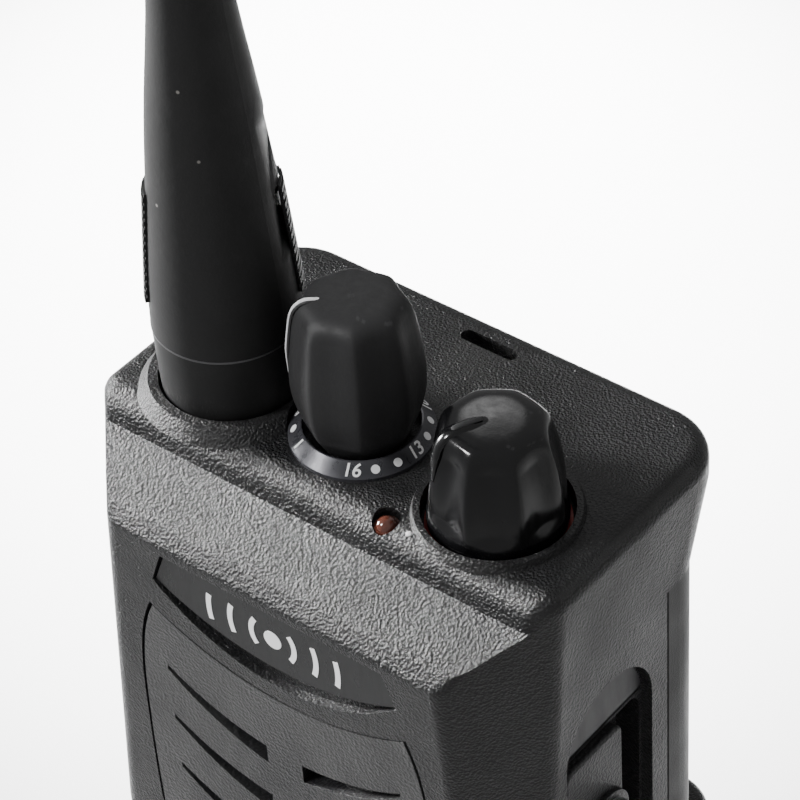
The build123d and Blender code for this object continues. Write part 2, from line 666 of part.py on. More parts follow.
with BuildPart() as antenna_core:
    with Locations((ANTENNA_X, ANTENNA_Y, BOOT_TOP_Z + RING_T)):
        Cylinder(CORE_R, ANTENNA_TIP_Z - 6 - BOOT_TOP_Z - RING_T, align=UP)
save(antenna_core, "antenna_core", METAL)

with BuildPart() as antenna_stud:
    with Locations((ANTENNA_X, ANTENNA_Y, BODY_H - 7)):
        Cylinder(1.5, 11.4, align=UP)
save(antenna_stud, "antenna_stud", GOLD)

with BuildPart() as antenna_socket:
    with Locations((ANTENNA_X, ANTENNA_Y, BODY_H - 8)):
        Cylinder(3.2, 8 - 1.7, align=UP)
        Cylinder(4.6, 8 - TOP_WALL, align=UP)
    with Locations((ANTENNA_X, ANTENNA_Y, BODY_H - 7)):
        Cylinder(1.5, 6, align=UP, mode=Mode.SUBTRACT)
save(antenna_socket, "antenna_socket", GOLD)

frame_limit = envelope(0.2)

# ---- push-to-talk key, side keys and their frame, on the left side ----
with BuildPart() as side_key_frame:
    with BuildSketch(LEFT_PLANE.offset(BODY_W / 2 - 0.8)):
        with Locations((-FRAME_Y, FRAME_Z)):
            RectangleRounded(FRAME_W - 0.1, FRAME_H - 0.1, 2)
        with Locations((-KEY_Y, PTT_Z)):
            RectangleRounded(8.6, PTT_H + 0.6, 2.3, mode=Mode.SUBTRACT)
        for key_z in KEY_ZS.values():
            with Locations((-KEY_Y, key_z)):
                RectangleRounded(6.6, KEY_H + 0.6, 2.0, mode=Mode.SUBTRACT)
    extrude(amount=1.3)
    add(frame_limit, mode=Mode.INTERSECT)
save(side_key_frame, "side_key_frame", DARK)


def side_key(key_z, width, height, face_x, inner_x, corner_r, label):
    """Key cap with a retaining flange behind the frame."""
    with BuildPart() as cap:
        with BuildSketch(LEFT_PLANE.offset(inner_x)):
            with Locations((-KEY_Y, key_z)):
                RectangleRounded(width, height, corner_r)
        extrude(amount=face_x - inner_x)
        fillet(faces().sort_by(Axis.X)[0].edges(), 0.5)
        with BuildSketch(LEFT_PLANE.offset(BODY_W / 2 - 1.9)):
            with Locations((-KEY_Y, key_z)):
                RectangleRounded(width + 0.9, height + 1.1, corner_r)
        extrude(amount=0.8)
    save(cap, label, BLACK)


side_key(PTT_Z, 8.0, PTT_H, PROUD, 25.1, 2.0, "ptt_button")
for key_name, key_z in KEY_ZS.items():
    side_key(key_z, 6.0, KEY_H, PROUD - 0.3, 24.6, 1.7, key_name)

with BuildPart() as side_switches:
    with BuildSketch(LEFT_PLANE.offset(22.8)):
        with Locations((-KEY_Y, FRAME_Z - 1)):
            Rectangle(4.2, 40)
    extrude(amount=0.4)
    with BuildSketch(LEFT_PLANE.offset(23.2)):
        with Locations(*((-KEY_Y, z) for z in (PTT_Z, *KEY_ZS.values()))):
            Circle(1.9)
    extrude(amount=0.4)
save(side_switches, "side_switches", METAL)

# ---- accessory jacks and their cover, on the right side ----
for jack_name, (jack_z, jack_r) in JACKS.items():
    with BuildPart() as jack:
        with Locations((TUB_FLOOR_X, JACK_Y, jack_z)):
            Box(6.6, 6.4, 6.4, align=(Align.MAX, Align.CENTER, Align.CENTER))
        with BuildSketch(RIGHT_PLANE.offset(TUB_FLOOR_X)):
            with Locations((JACK_Y, jack_z)):
                Circle(2.9)
        extrude(amount=2.5)
        with BuildSketch(RIGHT_PLANE.offset(24.0)):
            with Locations((JACK_Y, jack_z)):
                Circle(jack_r)
        extrude(amount=-7, mode=Mode.SUBTRACT)
    save(jack, jack_name, METAL)

COVER_Y, COVER_W, COVER_LOW, COVER_TOP = -4.3, 9.0, 76.0, 98.2
with BuildPart() as jack_cover:
    with BuildSketch(RIGHT_PLANE.offset(24.4)):
        with Locations((COVER_Y, (COVER_LOW + COVER_TOP) / 2)):
            RectangleRounded(COVER_W, COVER_TOP - COVER_LOW, 1.2)
    extrude(amount=2.2)
    fillet(faces().sort_by(Axis.X)[-1].edges(), 0.4)
    with BuildSketch(RIGHT_PLANE.offset(26.5)):
        with Locations((SCREW_Y, SCREW_Z)):
            Circle(3.3)
    extrude(amount=0.6)
    with BuildSketch(RIGHT_PLANE.offset(27.2)):
        with Locations((SCREW_Y, SCREW_Z)):
            Circle(1.6)
    extrude(amount=-4, mode=Mode.SUBTRACT)
save(jack_cover, "jack_cover", DARK)

with BuildPart() as jack_cover_screw:
    with BuildSketch(RIGHT_PLANE.offset(TUB_FLOOR_X + 0.2)):
        with Locations((SCREW_Y, SCREW_Z)):
            Circle(1.5)
    extrude(amount=27.2 - TUB_FLOOR_X - 0.2)
    with BuildSketch(RIGHT_PLANE.offset(27.2)):
        with Locations((SCREW_Y, SCREW_Z)):
            Circle(2.6)
    extrude(amount=PROUD - 27.2)
    with BuildSketch(RIGHT_PLANE.offset(PROUD)):
        with Locations((SCREW_Y, SCREW_Z)):
            Rectangle(5.4, 0.8)
    extrude(amount=-0.6, mode=Mode.SUBTRACT)
save(jack_cover_screw, "jack_cover_screw", METAL)

# ---- battery pack ----
BATTERY_BACK = LEDGE_REAR
with BuildPart() as battery_case:
    with BuildSketch(Plane.XY):
        with Locations((0, (BATTERY_FRONT + BATTERY_BACK) / 2)):
            Rectangle(BODY_W - 0.2, BATTERY_BACK - BATTERY_FRONT)
        fillet(vertices().group_by(Axis.Y)[-1], 5.5)
    extrude(amount=BATTERY_TOP)
    fillet(faces().sort_by(Axis.Y)[-1].edges().filter_by(Axis.X), 1.2)
    with Locations((0, BATTERY_FRONT + 5.4, BATTERY_TOP / 2)):
        Box(BODY_W - 3.6, 10.8, BATTERY_TOP - 3.4, mode=Mode.SUBTRACT)
    # hinge tabs: a neck and a barrel at each side of the top
    for x in TAB_XS:
        with BuildSketch(Plane.YZ.offset(x)):
            with Locations((HINGE_Y, (BATTERY_TOP - 0.4 + HINGE_Z) / 2)):
                Rectangle(1.2, HINGE_Z - BATTERY_TOP + 0.4)
            with Locations((HINGE_Y, HINGE_Z)):
                Circle(1.0)
        extrude(amount=TAB_LEN / 2, both=True)
    for x in (-9.0, 9.0):
        with BuildSketch(Plane.XY):
            with Locations((x, BATTERY_BACK - 5.0)):
                Circle(2.0)
        extrude(amount=0.4, mode=Mode.SUBTRACT)
save(battery_case, "battery_case", BLACK)

with BuildPart() as charging_contacts:
    with BuildSketch(Plane.XY.offset(0.1)):
        with Locations((-9.0, BATTERY_BACK - 5.0), (9.0, BATTERY_BACK - 5.0)):
            Circle(1.95)
    extrude(amount=0.3)
save(charging_contacts, "charging_contacts", GOLD)

with BuildPart() as battery_lid:
    with Locations((0, BATTERY_FRONT + 0.8, BATTERY_TOP / 2)):
        Box(BODY_W - 3.7, 1.6, BATTERY_TOP - 3.5)
    with Locations((0, BATTERY_FRONT + 0.8, 6.6)):
        Box(9.8, 3.0, 4.8, mode=Mode.SUBTRACT)
    for x in CONTACT_XS:
        with Locations((x, BATTERY_FRONT, CONTACT_Z)):
            Box(2.6, 1.0, 4.6, mode=Mode.SUBTRACT)
save(battery_lid, "battery_lid", BLACK)

with BuildPart() as battery_contacts:
    for x in CONTACT_XS:
        with Locations((x, BATTERY_FRONT + 0.35, CONTACT_Z)):
            Box(2.4, 0.3, 4.4)
save(battery_contacts, "battery_contacts", GOLD)

with BuildPart() as battery_cells:
    for x in (-16.4, 0.0, 16.4):
        with Locations((x, BATTERY_FRONT + 6.2, 39)):
            Box(15.6, 8.0, 56)
    fillet(edges().filter_by(Axis.Z), 2.5)
save(battery_cells, "battery_cells", GREY)

# ---- battery release latch in the base ----
with BuildPart() as release_latch:
    with Locations((0, -1.45, 0.4)):
        Box(14.0, 6.1, 1.2, align=UP)
    with Locations((0, -1.0, 0.4)):
        Box(10.0, 3.0, 5.6, align=UP)
    fillet(faces().sort_by(Axis.Z)[0].edges(), 0.4)
save(release_latch, "release_latch", DARK)

with BuildPart() as latch_hook:
    with BuildSketch(Plane.YZ):
        with BuildLine():
            Polyline([(0.5, 5.0), (7.2, 5.0), (7.2, 3.4), (6.2, 3.7), (6.2, 4.5), (0.5, 4.5)], close=True)
        make_face()
    extrude(amount=3.2, both=True)
save(latch_hook, "latch_hook", METAL)

COIL_R, COIL_WIRE = 1.5, 0.2
with BuildPart() as latch_spring:
    with BuildLine(Plane.XY.offset(6.3)) as coil_path:
        Helix(pitch=0.9, height=4.5, radius=COIL_R)
    with BuildSketch(Plane(origin=coil_path.line @ 0, z_dir=coil_path.line % 0)):
        Circle(COIL_WIRE)
    sweep(is_frenet=True)
latch_spring.part.location = Location((0, -1.0, 0))
save(latch_spring, "latch_spring", METAL)
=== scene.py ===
import json
from math import atan2, cos, pi, radians, sin

import bmesh
import bpy
from mathutils import Matrix, Vector


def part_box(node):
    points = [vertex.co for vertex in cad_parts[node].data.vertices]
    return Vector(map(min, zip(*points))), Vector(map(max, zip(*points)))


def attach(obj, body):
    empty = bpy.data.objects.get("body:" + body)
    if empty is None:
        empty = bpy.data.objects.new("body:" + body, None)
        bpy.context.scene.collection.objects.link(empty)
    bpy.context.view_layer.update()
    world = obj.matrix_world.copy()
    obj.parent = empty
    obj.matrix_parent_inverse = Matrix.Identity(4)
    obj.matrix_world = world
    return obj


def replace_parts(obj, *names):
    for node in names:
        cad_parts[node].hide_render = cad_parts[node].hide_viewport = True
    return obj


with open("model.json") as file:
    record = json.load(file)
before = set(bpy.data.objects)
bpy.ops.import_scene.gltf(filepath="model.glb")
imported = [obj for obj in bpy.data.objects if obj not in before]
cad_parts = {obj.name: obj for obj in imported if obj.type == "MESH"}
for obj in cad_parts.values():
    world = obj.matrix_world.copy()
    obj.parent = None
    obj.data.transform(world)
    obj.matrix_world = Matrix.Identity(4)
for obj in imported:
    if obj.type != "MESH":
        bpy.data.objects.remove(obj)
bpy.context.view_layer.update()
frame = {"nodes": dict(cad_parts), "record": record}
nodes = frame["nodes"]
MM = 0.001


# ---- places taken from the frame, in metres ----
def centre(node):
    low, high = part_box(node)
    return (Vector(low) + Vector(high)) / 2


CHANNEL = centre("channel_dial_ring")
VOLUME = centre("volume_seal_ring")
ANTENNA = centre("antenna_boot")
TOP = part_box("channel_dial_ring")[0][2]  # the case's top face
CHANNELS = 16
CHANNEL_STEP = radians(20)
FIRST_CHANNEL = radians(240)  # where channel 1 is printed, counted round from +X
CHANNEL_REST = radians(220)  # the channel pointer at rest, on channel 2
VOLUME_REST = radians(237)  # the volume pointer at rest, off
AXIS_R = 0.01  # smallest radius of a turned profile, in mm


# ---- mesh helpers ----
def piece(name, mesh, body, material, smooth=True):
    """Links a mesh as a piece that rides on a body."""
    obj = bpy.data.objects.new(name, mesh)
    bpy.context.scene.collection.objects.link(obj)
    if smooth:
        mesh.shade_smooth()
    obj.data.materials.clear()
    obj.data.materials.append(material)
    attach(obj, body)
    return obj


def mesh_from(name, verts, faces):
    """Mesh from points and faces, with doubles merged and its normals outwards."""
    mesh = bpy.data.meshes.new(name)
    mesh.from_pydata([tuple(v) for v in verts], [], faces)
    mesh.validate()
    mesh.update()
    bm = bmesh.new()
    bm.from_mesh(mesh)
    bmesh.ops.remove_doubles(bm, verts=bm.verts, dist=1e-7)
    bmesh.ops.recalc_face_normals(bm, faces=bm.faces)
    bm.to_mesh(mesh)
    bm.free()
    return mesh


def smooth_path(points, steps):
    """Catmull-Rom points through a short list of points of any dimension."""
    points = [Vector(p) for p in points]
    ends = [points[0] * 2 - points[1]] + points + [points[-1] * 2 - points[-2]]
    path = []
    for a, b, c, d in zip(ends, ends[1:], ends[2:], ends[3:]):
        for k in range(steps):
            t = k / steps
            square, cube = 2 * a - 5 * b + 4 * c - d, 3 * b - a - 3 * c + d
            path.append(0.5 * (2 * b + (c - a) * t + square * t * t + cube * t**3))
    return path + [points[-1]]


def turned(name, profile, place, segments=160, radius_at=None):
    """Closed turned solid from (radius, height) pairs in mm.

    radius_at may change the radius by angle and height.
    """
    verts, faces = [], []
    for r, z in profile:
        for k in range(segments):
            angle = 2 * pi * k / segments
            reach = (radius_at(r, z, angle) if radius_at else r) * MM
            verts.append(Vector((place.x + reach * cos(angle), place.y + reach * sin(angle), z * MM)))
    rows = len(profile)
    for i in range(rows - 1):
        for k in range(segments):
            n = (k + 1) % segments
            low, high = i * segments, (i + 1) * segments
            faces.append((low + k, low + n, high + n, high + k))
    for row in (0, rows - 1):
        hub = len(verts)
        verts.append(Vector((place.x, place.y, profile[row][1] * MM)))
        faces += [(row * segments + k, row * segments + (k + 1) % segments, hub) for k in range(segments)]
    return mesh_from(name, verts, faces)


def rib(name, path, angle, place, half_width, height, taper=1.0):
    """Rounded rib along (radius, height) points in a radial plane. It fades at both ends and may narrow."""
    arc = 10  # facets across the rib
    sunk = 0.08  # how far its edges lie under the surface, in mm
    fade_start, fade_rate = 0.25, 4  # its height at the ends, and how fast it grows from there
    path = smooth_path(path, 10)
    last = len(path) - 1
    out, side = Vector((cos(angle), sin(angle), 0)), Vector((-sin(angle), cos(angle), 0))
    verts, faces = [], []
    for i, p in enumerate(path):
        before, after = path[max(i - 1, 0)], path[min(i + 1, last)]
        along = (after - before).normalized()
        normal = Vector((along.y, -along.x)) if along.y > 0 else Vector((-along.y, along.x))
        fade = min(1.0, *(fade_start + fade_rate * steps / len(path) for steps in (i, last - i)))
        narrowing = 1 + (taper - 1) * i / last
        for k in range(arc + 1):
            swing = pi * k / arc
            flat = p + normal * (height * fade * sin(swing) - sunk)
            wide = half_width * narrowing * (0.6 + 0.4 * fade) * cos(swing)
            offset = out * flat.x + side * wide + Vector((0, 0, flat.y))
            verts.append(Vector((place.x, place.y, 0)) + offset * MM)
    for i in range(last):
        for k in range(arc + 1):
            n = (k + 1) % (arc + 1)
            a, b = i * (arc + 1), (i + 1) * (arc + 1)
            faces.append((a + k, a + n, b + n, b + k))
    faces.append(tuple(range(arc + 1)))
    faces.append(tuple(reversed(range(last * (arc + 1), len(path) * (arc + 1)))))
    return mesh_from(name, verts, faces)


# ---- materials ----
def new_material(name, color, rough, **inputs):
    """Principled material. Other inputs are given by name, with _ for a space."""
    material = bpy.data.materials.new(name)
    material.use_nodes = True
    shader = material.node_tree.nodes["Principled BSDF"]
    shader.inputs["Base Color"].default_value = (*color, 1)
    shader.inputs["Roughness"].default_value = rough
    for key, value in inputs.items():
        shader.inputs[key.replace("_", " ")].default_value = value
    return material


def voronoi(material, scale):
    """Cells over object coordinates, with a scale in cells per metre."""
    tree = material.node_tree
    cells = tree.nodes.new("ShaderNodeTexVoronoi")
    cells.inputs["Scale"].default_value = scale
    place = tree.nodes.new("ShaderNodeTexCoord")
    tree.links.new(place.outputs["Object"], cells.inputs["Vector"])
    return cells


def noise(material, scale, detail=2.0, roughness=0.5, stretch=(1, 1, 1)):
    """Noise over object coordinates, with a scale in features per metre."""
    tree = material.node_tree
    place = tree.nodes.new("ShaderNodeTexCoord")
    mapping = tree.nodes.new("ShaderNodeMapping")
    mapping.inputs["Scale"].default_value = stretch
    tex = tree.nodes.new("ShaderNodeTexNoise")
    tex.inputs["Scale"].default_value = scale
    tex.inputs["Detail"].default_value = detail
    tex.inputs["Roughness"].default_value = roughness
    tree.links.new(place.outputs["Object"], mapping.inputs["Vector"])
    tree.links.new(mapping.outputs["Vector"], tex.inputs["Vector"])
    return tex.outputs["Fac"]


def spread(material, value, low, high, out_low, out_high):
    """Maps a value's range to another, clamped."""
    node = material.node_tree.nodes.new("ShaderNodeMapRange")
    node.inputs["From Min"].default_value = low
    node.inputs["From Max"].default_value = high
    node.inputs["To Min"].default_value = out_low
    node.inputs["To Max"].default_value = out_high
    material.node_tree.links.new(value, node.inputs["Value"])
    return node.outputs["Result"]


def bumped(material, layers):
    """Chains bumps of (height value, distance in metres, strength) into the shader's normal."""
    tree = material.node_tree
    normal = None
    for value, distance, strength in layers:
        bump = tree.nodes.new("ShaderNodeBump")
        bump.inputs["Distance"].default_value = distance
        bump.inputs["Strength"].default_value = strength
        tree.links.new(value, bump.inputs["Height"])
        if normal:
            tree.links.new(normal, bump.inputs["Normal"])
        normal = bump.outputs["Normal"]
    tree.links.new(normal, tree.nodes["Principled BSDF"].inputs["Normal"])


def mixed_color(material, value, low_color, high_color):
    """Drives the base colour from one colour to another by a value from 0 to 1."""
    tree = material.node_tree
    mix = tree.nodes.new("ShaderNodeMix")
    mix.data_type = "RGBA"
    mix.inputs["A"].default_value = (*low_color, 1)
    mix.inputs["B"].default_value = (*high_color, 1)
    tree.links.new(value, mix.inputs["Factor"])
    tree.links.new(mix.outputs["Result"], tree.nodes["Principled BSDF"].inputs["Base Color"])


def edge_value(material):
    """0 on flats, towards 1 on convex edges, where a paler colour is painted on as a highlight."""
    geometry = material.node_tree.nodes.new("ShaderNodeNewGeometry")
    return spread(material, geometry.outputs["Pointiness"], 0.53, 0.64, 0.0, 1.0)


def link_rough(material, value):
    """Drives the roughness by a value."""
    material.node_tree.links.new(value, material.node_tree.nodes["Principled BSDF"].inputs["Roughness"])


def grained_plastic(name, color, edge_highlight_color, grain, depth, rough):
    """Moulded plastic with a leather-like grain, uneven sheen and slightly paler edges, which are a painted
    highlight.
    """
    material = new_material(name, color, rough)
    cells = voronoi(material, grain)
    cells.feature = "SMOOTH_F1"
    cells.inputs["Smoothness"].default_value = 0.6
    fine = noise(material, grain * 2.3, 3.0, 0.6)
    bumped(material, [(cells.outputs["Distance"], depth, 0.75), (fine, depth * 0.8, 0.7)])
    link_rough(material, spread(material, noise(material, 140, 3.0), 0.3, 0.7, rough - 0.06, rough + 0.08))
    mixed_color(material, edge_value(material), color, edge_highlight_color)
    return material


def smooth_plastic(name, color, rough, grain=6000, depth=0.00001, **inputs):
    """Polished or satin moulding with faint waviness and fine scuffs."""
    material = new_material(name, color, rough, **inputs)
    scuffs = noise(material, 900, 4.0, 0.7, (1, 1, 0.2))
    bumped(material, [(noise(material, grain, 2.0), depth, 0.4)])
    link_rough(material, spread(material, scuffs, 0.35, 0.75, rough - 0.05, rough + 0.12))
    # paler colour on convex edges: a painted highlight
    paler = tuple(min(1, c * 1.5 + 0.01) for c in color)
    mixed_color(material, edge_value(material), color, paler)
    return material


def dusty_rubber(name, color, rough):
    """Matte moulded rubber with tiny pale specks of dust."""
    material = new_material(name, color, rough)
    cells = voronoi(material, 420)
    specks = spread(material, cells.outputs["Distance"], 0.05, 0.09, 1.0, 0.0)
    picked = spread(material, noise(material, 260, 1.0), 0.56, 0.62, 0.0, 1.0)
    both = material.node_tree.nodes.new("ShaderNodeMath")
    both.operation = "MULTIPLY"
    material.node_tree.links.new(specks, both.inputs[0])
    material.node_tree.links.new(picked, both.inputs[1])
    dust = (0.2, 0.19, 0.18)
    mixed_color(material, both.outputs["Value"], color, dust)
    bumped(material, [(noise(material, 3500, 3.0, 0.6), 0.00003, 0.5)])
    link_rough(material, spread(material, noise(material, 200, 3.0), 0.3, 0.7, rough - 0.05, rough + 0.06))
    return material


def metal(name, color, rough, stretch=(1, 1, 30)):
    """Plated metal with a fine directional brushing."""
    material = new_material(name, color, rough, Metallic=1.0)
    brushing = noise(material, 900, 3.0, 0.6, stretch)
    bumped(material, [(brushing, 0.00001, 0.3)])
    link_rough(material, spread(material, brushing, 0.3, 0.7, rough - 0.08, rough + 0.12))
    return material


# grain is in cells per metre and depth in metres; the second colour of each is a painted highlight on convex
# edges
case_plastic = grained_plastic(
    "case_grain", (0.0075, 0.0075, 0.008), edge_highlight_color=(0.03, 0.03, 0.03), grain=3700, depth=0.00016, rough=0.34
)
grille_plastic = grained_plastic(
    "grille_grain", (0.015, 0.015, 0.016), edge_highlight_color=(0.05, 0.05, 0.05), grain=3100, depth=0.00013, rough=0.34
)
chassis_paint = grained_plastic(
    "chassis_coat", (0.01, 0.01, 0.0105), edge_highlight_color=(0.05, 0.05, 0.05), grain=5200, depth=0.00004, rough=0.5
)
badge_plastic = smooth_plastic("badge_satin", (0.007, 0.007, 0.0075), 0.3)
knob_rubber = smooth_plastic("knob_soft", (0.021, 0.021, 0.022), 0.58, grain=4200, depth=0.00003)
knob_plastic = smooth_plastic("knob_gloss", (0.004, 0.004, 0.0045), 0.17)
dial_plastic = smooth_plastic("dial_satin", (0.05, 0.05, 0.057), 0.3, Metallic=0.35)
antenna_rubber = dusty_rubber("antenna_matte", (0.007, 0.007, 0.0073), 0.6)
white_paint = smooth_plastic("white_print", (0.86, 0.86, 0.88), 0.5)
seal_rubber = smooth_plastic("seal_red", (0.2, 0.012, 0.008), 0.5)
gasket_rubber = dusty_rubber("gasket_dark", (0.012, 0.012, 0.013), 0.7)
lamp_lens = smooth_plastic(
    "lamp_red", (0.12, 0.035, 0.022), 0.1, Transmission_Weight=0.2, Coat_Weight=1.0
)
# paler than the case plastic: painted light on the arch of the jack recess
lit_scoop_plastic = smooth_plastic("scoop_satin_painted_light", (0.035, 0.035, 0.037), 0.34)
steel = metal("plated_steel", (0.6, 0.6, 0.61), 0.32)
trim = metal("dull_trim", (0.18, 0.18, 0.185), 0.5)
contact_gold = metal("gold_plate", (0.8, 0.6, 0.25), 0.25)
board = smooth_plastic("solder_resist", (0.01, 0.1, 0.04), 0.3)
cone_paper = dusty_rubber("cone_paper", (0.02, 0.02, 0.02), 0.85)
cell_wrap = smooth_plastic("cell_film", (0.1, 0.13, 0.2), 0.4)
BY_SLOT = {
    "case_plastic": case_plastic,
    "grille_plastic": grille_plastic,
    "badge_plastic": badge_plastic,
    "knob_rubber": knob_rubber,
    "knob_plastic": knob_plastic,
    "dial_plastic": dial_plastic,
    "antenna_rubber": antenna_rubber,
    "seal_rubber": seal_rubber,
    "gasket_rubber": gasket_rubber,
    "lamp_lens": lamp_lens,
    "chassis_paint": chassis_paint,
    "steel": steel,
    "contact_gold": contact_gold,
    "board": board,
    "cone_paper": cone_paper,
    "cell_wrap": cell_wrap,
}
for entry in frame["record"]["subparts"]:
    node = nodes[entry["node"]]
    node.data.materials.clear()
    node.data.materials.append(BY_SLOT[entry["material_slot"]])
nodes["antenna_joint_ring"].data.materials[0] = trim


# ---- knobs ----
def flute(depth, count, start, low, high, rest):
    """Radius rule: rounded scoops between soft ridges, fading to the share rest near the top and the base."""

    def rule(r, z, angle):
        inside = min(1.0, max(0.0, (z - low) / 2.0)) * min(1.0, max(0.0, (high - z) / 2.5))
        scoop = (0.5 - 0.5 * cos(count * (angle - start))) ** 0.6
        return r - depth * scoop * (rest + (1 - rest) * inside) * min(1.0, r / 5.0)

    return rule


def knob_profile(points, base):
    """Smooth (radius, height) profile over a base height, in mm."""
    return [(max(p.x, AXIS_R), p.y + base) for p in smooth_path(points, 8)]


def channel_knob():
    base = TOP / MM
    heights = (
        (4.4, 0.4), (5.0, 1.5), (5.6, 2.6), (6.1, 4.5), (6.3, 6.4), (6.25, 9.0), (6.0, 11.2), (5.7, 13.4),
    )
    shoulder = ((5.35, 14.8), (4.75, 15.7), (3.7, 16.2), (2.0, 16.35), (AXIS_R, 16.4))
    profile = knob_profile(heights + shoulder, base)
    rule = flute(0.48, 8, CHANNEL_REST, base + 1.0, base + 17.0, 0.15)
    grip = turned("channel_knob_grip", profile, CHANNEL, radius_at=rule)
    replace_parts(piece("channel_knob_grip", grip, "channel_dial", knob_rubber), "channel_knob")
    line = [(2.7, 16.28), (4.0, 16.15), (4.85, 15.7), (5.45, 14.75), (5.8, 13.0), (6.15, 10.3), (6.3, 7.8)]
    line = [(r, z + base) for r, z in line]
    piece(
        "channel_pointer_rib",
        rib("channel_pointer_rib", line, CHANNEL_REST, CHANNEL, 0.5, 0.25, 0.5),
        "channel_dial", knob_rubber,
    )
    piece(
        "channel_pointer_paint",
        rib("channel_pointer_paint", line, CHANNEL_REST, CHANNEL, 0.34, 0.36, 0.2),
        "channel_dial", white_paint,
    )


def volume_knob():
    base = TOP / MM
    heights = ((6.55, -0.4), (6.6, 0.8), (6.55, 2.7), (6.4, 4.6), (6.05, 6.8), (5.6, 8.6), (5.2, 9.8))
    shoulder = ((4.75, 10.5), (4.2, 10.85), (3.2, 11.1), (1.6, 11.2), (AXIS_R, 11.25))
    profile = knob_profile(heights + shoulder, base)
    rule = flute(0.65, 8, VOLUME_REST, base + 0.2, base + 11.2, 0.08)
    grip = turned("volume_knob_grip", profile, VOLUME, radius_at=rule)
    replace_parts(piece("volume_knob_grip", grip, "volume_dial", knob_plastic), "volume_knob")
    line = [(0.4, 11.2), (2.0, 11.15), (3.4, 11.0), (4.4, 10.65), (5.15, 9.75), (5.65, 8.3), (6.15, 6.0)]
    line = [(r, z + base) for r, z in line]
    piece(
        "volume_pointer_rib",
        rib("volume_pointer_rib", line, VOLUME_REST, VOLUME, 0.85, 0.4, 0.8),
        "volume_dial", knob_plastic,
    )
    groove = [(1.0, 11.52), (2.2, 11.48), (3.4, 11.34), (4.3, 11.0)]
    groove = [(r, z + base) for r, z in groove]
    piece(
        "volume_pointer_groove",
        rib("volume_pointer_groove", groove, VOLUME_REST, VOLUME, 0.34, 0.16),
        "volume_dial", gasket_rubber,
    )


channel_knob()
volume_knob()


# ---- channel numbers on the bevel ring ----
# the cone's edges, as (radius, height above the top face) in mm
RING_LOW, RING_HIGH = (6.95, 0.35), (5.75, 1.5)
DIGIT_SIZE = 1.75
DOT_R = 0.42
PRINT_DEPTH = 0.03


def on_cone(angle, share, lift):
    """Matrix of a mark on the ring's cone, its Y up the slope and its Z out of the face."""
    r = RING_LOW[0] + (RING_HIGH[0] - RING_LOW[0]) * share
    z = RING_LOW[1] + (RING_HIGH[1] - RING_LOW[1]) * share
    slope = atan2(RING_HIGH[1] - RING_LOW[1], RING_LOW[0] - RING_HIGH[0])
    outward, along = Vector((cos(angle), sin(angle), 0)), Vector((-sin(angle), cos(angle), 0))
    up = Vector((0, 0, 1)) * sin(slope) - outward * cos(slope)
    normal = along.cross(up)
    spot = Vector((CHANNEL.x, CHANNEL.y, TOP)) + (outward * r + Vector((0, 0, z)) + normal * lift) * MM
    return Matrix.Translation(spot) @ Matrix((along, up, normal)).transposed().to_4x4()


def number_mesh(text, size):
    """Flat slanted number centred on its origin, its size in mm."""
    curve = bpy.data.curves.new("number", "FONT")
    curve.body = text
    curve.size = size * MM
    curve.align_x, curve.align_y = "CENTER", "CENTER"
    curve.shear = 0.15
    curve.extrude = 0.012 * MM
    curve.offset = 0.03 * MM
    holder = bpy.data.objects.new("number", curve)
    bpy.context.scene.collection.objects.link(holder)
    mesh = bpy.data.meshes.new_from_object(holder)
    bpy.data.objects.remove(holder)
    return mesh


def dial_print():
    """Every third channel is a number, and the others are dots."""
    bm = bmesh.new()
    for channel in range(1, CHANNELS + 1):
        angle = FIRST_CHANNEL - CHANNEL_STEP * (channel - 1)
        place = on_cone(angle, 0.5, 0.015)
        if channel % 3 == 1:
            mark = number_mesh(str(channel), DIGIT_SIZE)
            mark.transform(place)
            bm.from_mesh(mark)
            bpy.data.meshes.remove(mark)
        else:
            dot = bmesh.new()
            bmesh.ops.create_cone(
                dot, cap_ends=True, segments=32,
                radius1=DOT_R * MM, radius2=DOT_R * MM, depth=PRINT_DEPTH * MM,
            )
            dot.transform(place)
            holder = bpy.data.meshes.new("dot")
            dot.to_mesh(holder)
            dot.free()
            bm.from_mesh(holder)
            bpy.data.meshes.remove(holder)
    mesh = bpy.data.meshes.new("dial_print")
    bm.to_mesh(mesh)
    bm.free()
    piece("dial_print", mesh, "casing", white_paint, smooth=False)


dial_print()


# ---- small marks on the case, in mm ----
EMBLEM_DROP = 3.35  # from the badge's top edge
EMBLEM_DOT_R = 1.05
EMBLEM_THICKNESS = 0.04
ARC_WIDTH = 0.62
ARCS = ((2.6, 38), (5.2, 20), (7.8, 12))  # radius, and half its opening in degrees
SCOOP_HALF_WIDTH = 6.3
SCOOP_LOW, SCOOP_HIGH = 99.6, 105.6  # heights over the base
SCOOP_THICKNESS = 0.15
SCOOP_BEHIND = 1.3  # in from the jack cover's outer face
SCOOP_BACK = 1.9  # from the jack cover's middle
OFF_DOT_X, OFF_DOT_Y = 10.8, -10.1


def plate(name, outline, thickness, place, body, material):
    """Thin flat plate from an (x, y) outline in mm, laid by a matrix with its Z outwards."""
    bm = bmesh.new()
    face = bm.faces.new([bm.verts.new((x * MM, y * MM, 0)) for x, y in outline])
    raised = bmesh.ops.extrude_face_region(bm, geom=[face])
    lifted = [g for g in raised["geom"] if isinstance(g, bmesh.types.BMVert)]
    bmesh.ops.translate(bm, vec=(0, 0, thickness * MM), verts=lifted)
    bmesh.ops.recalc_face_normals(bm, faces=bm.faces)
    bm.transform(place)
    mesh = bpy.data.meshes.new(name)
    bm.to_mesh(mesh)
    bm.free()
    piece(name, mesh, body, material, smooth=False)


